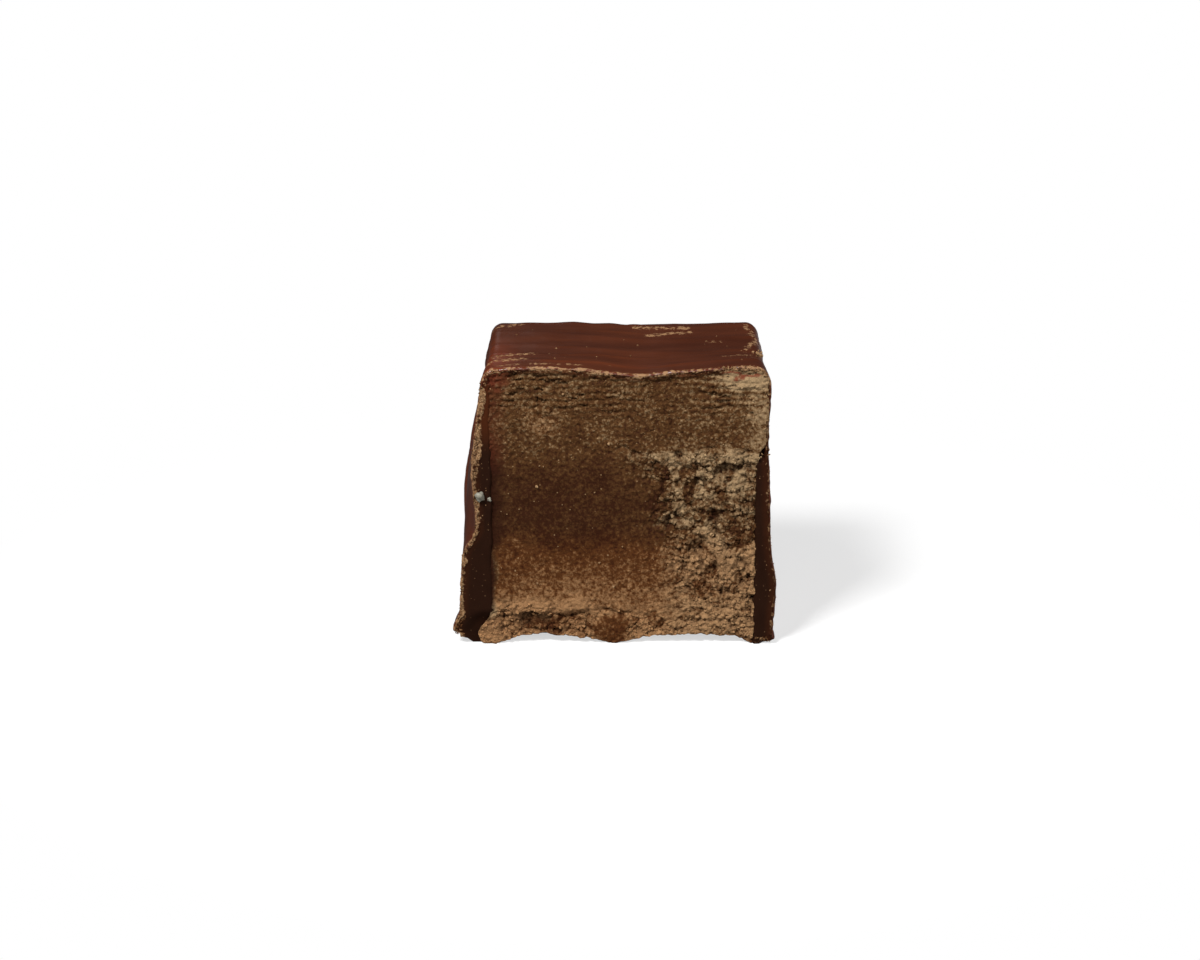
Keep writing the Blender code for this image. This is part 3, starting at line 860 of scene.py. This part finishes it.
def skin_fields(outside, facings, skin, bead):
    """How much the skin is scraped pale, and how thin it is: at its edges, at the top's left corner and
    on the crests of the left wall. bead is the scraping of the last row of the cut."""
    up = np.clip(facings[..., 2], 0.0, 1.0)
    edge = bead[None] * smooth_step(0.5, 0.15, outside[..., 1])
    scraped = np.maximum(edge, scrapes(skin) * smooth_step(0.5, 0.9, up))
    corner = patch(skin[..., (0, 1)], (-13.0, 3.0), (2.4, 6.0), 0.7) * up
    turned = hill(facings[..., 2] ** 2 - 0.5, 0.0, 0.35) + 0.6 * hill(outside[..., 1], 0.3, 0.5)
    crests = np.clip(wall_ridges(skin[..., 1], skin[..., 2], "left") / RIDGE_HEIGHT, 0.0, 1.0)
    return scraped, np.clip(0.8 * corner + 0.35 * turned + 0.25 * crests, 0.0, 1.0)


def coat_shell(sizes):
    """The coat as one closed skin. An arch is carried from deep inside the cavity forward to the cut,
    over the rim, round a small lip, back along the outside and round the back edges; level rows close
    the back wall, and one face closes the underside."""
    cavity, _ = arch(FILLING_LEFT - 0.1, FILLING_RIGHT - 0.05, FILLING_HEIGHT, CAVITY_RADIUS)
    inside = [
        np.column_stack((cavity[:, 0], np.full(len(cavity), depth), cavity[:, 1]))
        for depth in (DEPTH - COAT_BACK, 8.0, 3.0, 1.4, 0.8)
    ]
    lip_start, _ = station(0.0, LIP, -np.pi / 2.0)
    inner = np.column_stack((cavity[:, 0], np.zeros(len(cavity)), cavity[:, 1]))
    share = (0.5 - 0.5 * np.cos(np.pi * np.linspace(0.0, 1.0, BAND_STATIONS + 1)))[:-1, None, None]
    band = inner + (lip_start - inner) * share
    depth, bead, thinner = rim_fields(lip_start[None], inner[None], share)
    band[..., 1] += depth
    band[..., 2] = np.clip(band[..., 2], 0.0, None)
    outside, facings, skin = outer_skin(sizes)
    leg = WALL_POINTS + CORNER_POINTS
    back, facing_back = back_rows(skin[-1][:leg, None], skin[-1][::-1][:leg, None], sizes)

    rows = np.concatenate((np.stack(inside), band, skin))
    first_skin = len(inside) + len(band)
    outward = np.concatenate((np.zeros((first_skin, rows.shape[1], 3)), facings)).reshape(-1, 3)
    outward = np.concatenate((outward, facing_back.reshape(-1, 3)))
    points = turned_foot(np.concatenate((rows.reshape(-1, 3), back.reshape(-1, 3))), outward)

    index = np.arange(rows.shape[0] * rows.shape[1]).reshape(rows.shape[:2])
    inner_back = index.size + np.arange(back.shape[0] * back.shape[1]).reshape(back.shape[:2])
    levels = np.column_stack((index[-1][:leg], inner_back, index[-1][::-1][:leg]))
    levels = np.vstack((levels, index[-1][leg : leg + TOP_POINTS]))
    faces = quads(index).tolist() + quads(levels).tolist()
    faces.append(index[0].tolist())
    first = len(inside)
    under = np.concatenate(
        (index[first:, 0], levels[0][1:-1], index[first:, -1][::-1], index[:first, -1][::-1], index[:first, 0])
    )
    faces.append(under.tolist())

    cut = np.repeat(1.0 * (np.arange(len(rows)) <= first_skin), rows.shape[1])
    cut = np.concatenate((cut, np.zeros(back[..., 0].size)))
    of_band = slice(index[first, 0], index[first_skin, 0])
    of_skin = slice(index[first_skin, 0], index.size)
    scraped, thin = np.zeros(len(points)), np.zeros(len(points))
    skin_scraped, skin_thin = skin_fields(outside, facings, skin, bead[-1])
    scraped[of_band], thin[of_band] = bead.ravel(), thinner.ravel()
    scraped[of_skin], thin[of_skin] = skin_scraped.ravel(), skin_thin.ravel()
    return points, faces, {"cut": cut, "scraped": scraped, "thin": thin}


def scraped_flakes(tree, place):
    """Where the chocolate is scraped pale, and the flakes 0.4 mm wide that break the scrapes up."""
    scraped = field_node(tree, "scraped")
    flakes = node(tree, "ShaderNodeTexNoise", {"Vector": place, "Scale": per_metre(0.4), "Detail": 3.0})
    flakes = node(tree, "ShaderNodeMapRange", {"Value": flakes.outputs["Fac"], 1: 0.35, 2: 0.65, 3: 0.0, 4: 1.0})
    worn = node(tree, "ShaderNodeMath", {0: flakes.outputs[0], 1: scraped})
    worn = node(tree, "ShaderNodeMapRange", {"Value": worn.outputs[0], 1: 1.05, 2: 1.55, 3: 0.0, 4: 1.0})
    return worn.outputs[0], flakes.outputs[0]


def chocolate_material(colours):
    """Dark chocolate that flowed over the block and set without a mould: a satin red-brown skin with
    darker streaks, redder where it is thin, and pale and rough where it was scraped."""
    material, tree, shader = new_material("dark_chocolate_enrobed")
    place = node(tree, "ShaderNodeTexCoord").outputs["Object"]
    worn, flakes = scraped_flakes(tree, place)
    # Streaks about 3 mm wide, drawn out from left to right on the top and downwards on the side walls
    flow = node(tree, "ShaderNodeVectorMath", {0: place, 1: (0.3, 1.0, 0.3)}, operation="MULTIPLY")
    cloud = node(tree, "ShaderNodeTexNoise", {"Vector": flow.outputs[0], "Scale": per_metre(3.5), "Detail": 3.0})
    cloud = node(tree, "ShaderNodeMapRange", {"Value": cloud.outputs["Fac"], 1: 0.3, 2: 0.75})
    skin = mix_node(tree, cloud.outputs[0], colours.set_chocolate, linear("#39190d"))
    body = mix_node(tree, field_node(tree, "thin"), skin, colours.thin_chocolate)
    tree.links.new(mix_node(tree, worn, body, colours.scraped_chocolate), shader.inputs["Base Color"])
    dull = node(tree, "ShaderNodeMath", {0: worn, 1: 0.4, 2: 0.34}, operation="MULTIPLY_ADD")
    tree.links.new(dull.outputs[0], shader.inputs["Roughness"])
    shader.inputs["IOR"].default_value = 1.46
    # Unevenness 0.7 mm wide, and the flakes' own edges
    fine = node(tree, "ShaderNodeTexNoise", {"Vector": place, "Scale": per_metre(0.7), "Detail": 4.0})
    height = node(tree, "ShaderNodeMath", {0: worn, 1: flakes}, operation="MULTIPLY")
    height = node(
        tree, "ShaderNodeMath", {0: fine.outputs["Fac"], 1: 0.35, 2: height.outputs[0]}, operation="MULTIPLY_ADD"
    )
    bump = node(tree, "ShaderNodeBump", {"Strength": 0.35, "Distance": 0.06 * MM, "Height": height.outputs[0]})
    tree.links.new(bump.outputs[0], shader.inputs["Normal"])
    return material


def cut_chocolate_material(colours):
    """Dark chocolate where a knife went through: darker and duller than the skin, with a few sugar
    specks, and a pale scraped bead along its edge."""
    material, tree, shader = new_material("dark_chocolate_cut")
    place = node(tree, "ShaderNodeTexCoord").outputs["Object"]
    worn, flakes = scraped_flakes(tree, place)
    # Drag marks of the knife 1.5 mm wide, and specks up to 0.12 mm wide
    cloud = node(tree, "ShaderNodeTexNoise", {"Vector": place, "Scale": per_metre(1.5), "Detail": 4.0})
    body = mix_node(tree, cloud.outputs["Fac"], colours.cut_chocolate, linear("#2b170d"))
    body = mix_node(tree, field_node(tree, "thin"), body, linear("#47220f"))
    specks = node(tree, "ShaderNodeTexVoronoi", {"Vector": place, "Scale": per_metre(0.55)})
    speck = node(tree, "ShaderNodeMapRange", {"Value": specks.outputs["Distance"], 1: 0.14, 2: 0.08, 3: 0.0, 4: 0.25})
    pale = node(tree, "ShaderNodeMath", {0: worn, 1: speck.outputs[0]}, operation="MAXIMUM")
    # Grit 0.12 mm wide in the scraped bead
    grit = node(tree, "ShaderNodeTexNoise", {"Vector": place, "Scale": per_metre(0.16), "Detail": 2.0})
    grit = node(tree, "ShaderNodeMapRange", {"Value": grit.outputs["Fac"], 1: 0.35, 2: 0.65})
    tan = mix_node(tree, grit.outputs[0], linear("#664429"), linear("#ae8b66"))
    tree.links.new(mix_node(tree, pale.outputs[0], body, tan), shader.inputs["Base Color"])
    dull = node(tree, "ShaderNodeMath", {0: worn, 1: 0.3, 2: 0.5}, operation="MULTIPLY_ADD")
    tree.links.new(dull.outputs[0], shader.inputs["Roughness"])
    shader.inputs["IOR"].default_value = 1.46
    shader.inputs["Specular IOR Level"].default_value = 0.06
    height = node(tree, "ShaderNodeMath", {0: worn, 1: grit.outputs[0]}, operation="MULTIPLY")
    bump = node(tree, "ShaderNodeBump", {"Strength": 0.7, "Distance": 0.1 * MM, "Height": height.outputs[0]})
    tree.links.new(bump.outputs[0], shader.inputs["Normal"])
    return material


class FUDGE_OT_coat(bpy.types.Operator):
    """Makes the chocolate coat with its cut rim"""

    bl_idname = "fudge.coat"
    bl_label = "Chocolate Coat"

    def execute(self, context):
        scene = context.scene
        points, faces, fields = coat_shell(scene.fudge_sizes)
        materials = (chocolate_material(scene.fudge_colours), cut_chocolate_material(scene.fudge_colours))
        piece = add_piece("coat", points, faces, materials, fields, sharp=75.0)
        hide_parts("chocolate_coat")
        return {"FINISHED"}


# Crumbs


def pebbles(places, widths, draw, least=0.5):
    """A lump at each place: an icosahedron with its corners at random between this least share and 1.25
    of their distance, stretched and turned at random."""
    bm = bmesh.new()
    bmesh.ops.create_icosphere(bm, subdivisions=1, radius=0.5)
    bm.verts.index_update()
    corners = np.array([tuple(vertex.co) for vertex in bm.verts])
    faces = np.array([[vertex.index for vertex in face.verts] for face in bm.faces])
    bm.free()
    count = len(places)
    shape = corners * draw.uniform(least, 1.25, (count, len(corners), 1)) * draw.uniform(0.6, 1.4, (count, 1, 3))
    spin = draw.normal(size=(count, 4))
    w, x, y, z = (spin / np.linalg.norm(spin, axis=1, keepdims=True)).T
    turn = np.stack(
        (
            1 - 2 * (y * y + z * z), 2 * (x * y - z * w), 2 * (x * z + y * w),
            2 * (x * y + z * w), 1 - 2 * (x * x + z * z), 2 * (y * z - x * w),
            2 * (x * z - y * w), 2 * (y * z + x * w), 1 - 2 * (x * x + y * y),
        ),
        axis=-1,
    ).reshape(-1, 3, 3)
    points = places[:, None] + np.einsum("nij,nkj->nki", turn, shape) * widths[:, None, None]
    faces = faces + len(corners) * np.arange(count)[:, None, None]
    return points.reshape(-1, 3), faces.reshape(-1, 3).tolist()


def standing_grains(sizes, draw):
    """Grains that stand out of the cut, many where it is crumbly and few in the smooth heart: their
    places, widths, dryness (less where the painted pit shade lies) and warmth."""
    across = draw.uniform(-FILLING_LEFT - 1.5, FILLING_RIGHT + 1.2, sizes.grains)
    height = draw.uniform(0.1, OUTER_HEIGHT, sizes.grains)
    depth, fields = cut_fields(across, height, sizes)
    inside = (across > face_left(height) + 0.1) & (across < face_right(height) - 0.1)
    inside = inside & (height > face_bottom(across) + 0.1) & (height < face_top(across) - 0.1)
    grainy = fields["grainy"] * (1.0 - 0.8 * fields["smear_and_shade"])
    kept = inside & (draw.uniform(size=sizes.grains) < 0.9 * grainy**3)
    widths = (0.12 + 0.11 * grainy**3) * np.exp(draw.normal(0.0, 0.4, sizes.grains))
    places = np.stack((across, depth + 0.12 * widths, height), axis=-1)
    # Grains that sit in the painted pit shade are painted darker too
    dry = fields["dry"] - 0.5 * fields["pit_shade"] + 0.02 + draw.normal(0.0, 0.1, sizes.grains)
    return places[kept], np.clip(widths, 0.08, 0.38)[kept], dry[kept], fields["warm"][kept]


def edge_crumbs(sizes, draw):
    """Crumbs along the coat's cut edges, on its two feet, at the torn corner and on the top: their
    places, widths and dryness."""
    places, widths, dry = [], [], []

    def add(count, x, y, z, width, paleness):
        places.append(np.stack(np.broadcast_arrays(x, y, z), axis=-1))
        widths.append(width * np.exp(draw.normal(0.0, 0.3, count)))
        dry.append(draw.normal(paleness, 0.16, count))

    def between(low, high, count):
        return draw.uniform(low, high, count)

    def top_edge(x, y):
        return OUTER_HEIGHT + top_wave(x, y) - outline_drop(x)

    many = sizes.crumbs
    x = between(-13.2, 14.0, many)
    add(many, x, between(0.02, 0.3, many), top_edge(x, 0.0) - np.abs(draw.normal(0.0, 0.16, many)), 0.13, 0.66)
    z = between(3.2, 27.3, many)
    inset = np.abs(draw.normal(0.0, 0.2, many)) * (0.6 + 1.6 * hill(z, 20.2, 2.0))
    add(many, inset - OUTER_LEFT - left_wall(0.0, z), between(-0.02, 0.12, many), z, 0.13, 0.72)
    count = many // 3
    z = between(0.5, 25.0, count)
    inset = np.abs(draw.normal(0.0, 0.12, count))
    add(count, OUTER_RIGHT + right_wall(0.0, z) - inset, between(-0.02, 0.15, count), z, 0.1, 0.5)
    count = many // 4
    z = between(1.0, 3.0, count)
    x = between(0.02, 0.8, count) - OUTER_LEFT - left_wall(0.0, z)
    add(count, x, between(0.0, 0.14, count), z, 0.15, 0.5)
    count = many // 8
    add(count, between(13.2, 14.9, count), between(-0.05, 0.2, count), between(0.2, 0.8, count), 0.17, 0.5)
    count = many // 4
    x = between(9.6, 14.0, count)
    add(count, x, between(-0.05, 0.3, count), top_edge(x, 0.0) - between(0.0, 0.5, count), 0.18, 0.8)
    count = count // 2
    z = between(3.0, 20.0, count)
    add(count, between(0.3, 1.4, count) - OUTER_LEFT - left_wall(0.0, z), 0.08, z, 0.08, 0.8)
    z = between(1.0, 18.0, count)
    add(count, OUTER_RIGHT + right_wall(0.0, z) - between(0.15, 1.1, count), 0.08, z, 0.08, 0.8)
    count = many // 16
    x, y = between(-11.5, 12.5, count), between(1.0, 15.0, count)
    add(count, x, y, OUTER_HEIGHT + top_wave(x, y) + 0.02, 0.14, 0.8)
    x, y = draw.normal(13.4, 0.25, count), draw.normal(6.0, 0.5, count)
    add(count, x, y, top_edge(x, y), 0.24, 0.85)
    x, z = between(-11.8, 3.0, 16), between(6.0, 26.0, 16)
    add(16, x, cut_fields(x, z, sizes)[0] - 0.04, z, 0.22, 1.0)
    return np.concatenate(places), np.concatenate(widths), np.concatenate(dry)


def crumb_material(colours):
    """Crumbs of dry fudge and scraped chocolate: dull, each with a tone of its own."""
    material, tree, shader = new_material("fudge_crumbs")
    colour = fudge_colour(tree, field_node(tree, "dry"), field_node(tree, "warm"), colours)
    tree.links.new(colour, shader.inputs["Base Color"])
    shader.inputs["Roughness"].default_value = 0.85
    shader.inputs["Specular IOR Level"].default_value = 0.1
    return material


def sugar_material():
    """Undissolved sugar: whitish grey and a little shiny."""
    material, tree, shader = new_material("undissolved_sugar")
    shader.inputs["Base Color"].default_value = (*linear("#8e8a7c"), 1.0)
    shader.inputs["Roughness"].default_value = 0.45
    shader.inputs["Specular IOR Level"].default_value = 0.3
    return material


class FUDGE_OT_crumbs(bpy.types.Operator):
    """Scatters the grains that stand out of the cut and the loose crumbs"""

    bl_idname = "fudge.crumbs"
    bl_label = "Crumbs"

    def execute(self, context):
        scene = context.scene
        draw = np.random.default_rng(5)
        places, widths, dry, warm = standing_grains(scene.fudge_sizes, draw)
        more_places, more_widths, more_dry = edge_crumbs(scene.fudge_sizes, draw)
        points, faces = pebbles(np.concatenate((places, more_places)), np.append(widths, more_widths), draw)
        corners = len(points) // (len(places) + len(more_places))
        fields = {
            "dry": np.repeat(np.append(dry, more_dry), corners),
            "warm": np.repeat(np.append(warm, 0.5 * np.ones(len(more_dry))), corners),
        }
        piece = add_piece("crumbs", points, faces, (crumb_material(scene.fudge_colours),), fields, sharp=50.0)
        return {"FINISHED"}


class FUDGE_OT_sugar(bpy.types.Operator):
    """Sets the two lumps of sugar on the coat's left rim"""

    bl_idname = "fudge.sugar"
    bl_label = "Sugar Lumps"

    def execute(self, context):
        draw = np.random.default_rng(9)
        large = np.array((-13.8, 0.0, 15.5)) + draw.normal(0.0, 0.12, (9, 3))
        small = np.array((-12.85, 0.02, 15.3)) + draw.normal(0.0, 0.07, (5, 3))
        widths = np.append(draw.uniform(0.5, 0.75, 9), draw.uniform(0.26, 0.34, 5))
        points, faces = pebbles(np.concatenate((large, small)), widths, draw, least=0.85)
        add_piece("sugar_lumps", points, faces, (sugar_material(),), {}, sharp=180.0)
        return {"FINISHED"}


# The stage


class FUDGE_OT_studio(bpy.types.Operator):
    """Makes the floor, the lights and the camera"""

    bl_idname = "fudge.studio"
    bl_label = "Studio"

    def execute(self, context):
        scene = context.scene
        half = 0.6  # half of the floor's width in metres
        mesh = bpy.data.meshes.new("floor")
        mesh.from_pydata([(-half, -half, 0), (half, -half, 0), (half, half, 0), (-half, half, 0)], [], [(0, 1, 2, 3)])
        floor = bpy.data.objects.new("floor", mesh)
        scene.collection.objects.link(floor)
        material, tree, shader = new_material("white_paper")
        path = node(tree, "ShaderNodeLightPath")
        seen = path.outputs["Is Camera Ray"]
        bounce = mix_node(tree, path.outputs["Is Glossy Ray"], (0.32, 0.32, 0.32), (0.06, 0.06, 0.06))
        tree.links.new(bounce, shader.inputs["Base Color"])
        shader.inputs["Roughness"].default_value = 0.9
        paper = node(tree, "ShaderNodeBsdfDiffuse", {"Color": (0.42, 0.42, 0.42, 1.0)})
        glow = node(tree, "ShaderNodeEmission", {"Color": (1.0, 1.0, 1.0, 1.0), "Strength": 0.62})
        both = node(tree, "ShaderNodeAddShader", {0: paper.outputs[0], 1: glow.outputs[0]})
        # Round the object the paper keeps its shadow, and further out it is plain white
        place = node(tree, "ShaderNodeTexCoord").outputs["Object"]
        reach = node(tree, "ShaderNodeVectorMath", {0: place}, operation="LENGTH")
        far = node(tree, "ShaderNodeMapRange", {"Value": reach.outputs["Value"], 1: 0.03, 2: 0.07})
        white = node(tree, "ShaderNodeEmission", {"Color": (1.0, 1.0, 1.0, 1.0), "Strength": 1.0})
        shown = node(tree, "ShaderNodeMixShader", {0: far.outputs[0], 1: both.outputs[0], 2: white.outputs[0]})
        mix = node(tree, "ShaderNodeMixShader", {0: seen, 1: shader.outputs[0], 2: shown.outputs[0]})
        tree.links.new(mix.outputs[0], tree.nodes["Material Output"].inputs["Surface"])
        mesh.materials.append(material)

        world = bpy.data.worlds.new("studio")
        world.use_nodes = True
        scene.world = world
        tree = world.node_tree
        seen = node(tree, "ShaderNodeLightPath").outputs["Is Camera Ray"]
        soft = node(tree, "ShaderNodeBackground", {"Color": (1.0, 1.0, 1.0, 1.0), "Strength": 0.02})
        white = node(tree, "ShaderNodeBackground", {"Color": (1.0, 1.0, 1.0, 1.0), "Strength": 1.0})
        mix = node(tree, "ShaderNodeMixShader", {0: seen, 1: soft.outputs[0], 2: white.outputs[0]})
        tree.links.new(mix.outputs[0], tree.nodes["World Output"].inputs["Surface"])

        # Each lamp's name, place in metres, width in metres and power in watts. They aim at the block.
        for name, place, width, power in (
            ("key", (-0.15, -0.20, 0.30), 0.09, 1.75),
            ("fill", (0.24, -0.20, 0.22), 0.2, 0.58),
            ("sheen", (-0.10, 0.35, 0.22), 0.12, 0.022),
            ("back", (0.28, 0.22, 0.05), 0.05, 0.45),
        ):
            light = bpy.data.lights.new(name, "AREA")
            light.size = width
            light.energy = power
            lamp = bpy.data.objects.new(name, light)
            lamp.location = place
            aim = np.array((0.0, 0.0, 0.012)) - np.array(place)
            heading = np.arctan2(aim[1], aim[0]) - np.pi / 2.0
            lamp.rotation_euler = (np.arctan2(np.hypot(aim[0], aim[1]), -aim[2]), 0.0, heading)
            scene.collection.objects.link(lamp)

        camera = bpy.data.cameras.new("camera")
        camera.lens = 77.4
        camera.sensor_width = 36.0
        holder = bpy.data.objects.new("camera", camera)
        holder.location = (-1.842 * MM, -246.43 * MM, 99.48 * MM)
        holder.rotation_euler = (np.radians(70.87), 0.0, 0.0)
        scene.collection.objects.link(holder)
        scene.camera = holder
        scene.view_settings.view_transform = "Standard"
        return {"FINISHED"}


class FUDGE_PT_panel(bpy.types.Panel):
    bl_label = "Cut Fudge Cube"
    bl_space_type = "VIEW_3D"
    bl_region_type = "UI"
    bl_category = "Fudge"

    def draw(self, context):
        column = self.layout.column()
        for group in (context.scene.fudge_sizes, context.scene.fudge_colours):
            for name in group.__annotations__:
                column.prop(group, name)
        for operator in OPERATORS:
            column.operator(operator.bl_idname)


OPERATORS = (FUDGE_OT_filling, FUDGE_OT_coat, FUDGE_OT_crumbs, FUDGE_OT_sugar, FUDGE_OT_studio)
CLASSES = (FudgeSizes, FudgeColours, *OPERATORS, FUDGE_PT_panel)


def register():
    for made in CLASSES:
        bpy.utils.register_class(made)
    bpy.types.Scene.fudge_sizes = bpy.props.PointerProperty(type=FudgeSizes)
    bpy.types.Scene.fudge_colours = bpy.props.PointerProperty(type=FudgeColours)


def unregister():
    del bpy.types.Scene.fudge_sizes
    del bpy.types.Scene.fudge_colours
    for made in reversed(CLASSES):
        bpy.utils.unregister_class(made)


def main():
    register()
    bpy.ops.fudge.filling()
    bpy.ops.fudge.coat()
    bpy.ops.fudge.crumbs()
    bpy.ops.fudge.sugar()
    bpy.ops.fudge.studio()


if __name__ == "__main__":
    main()
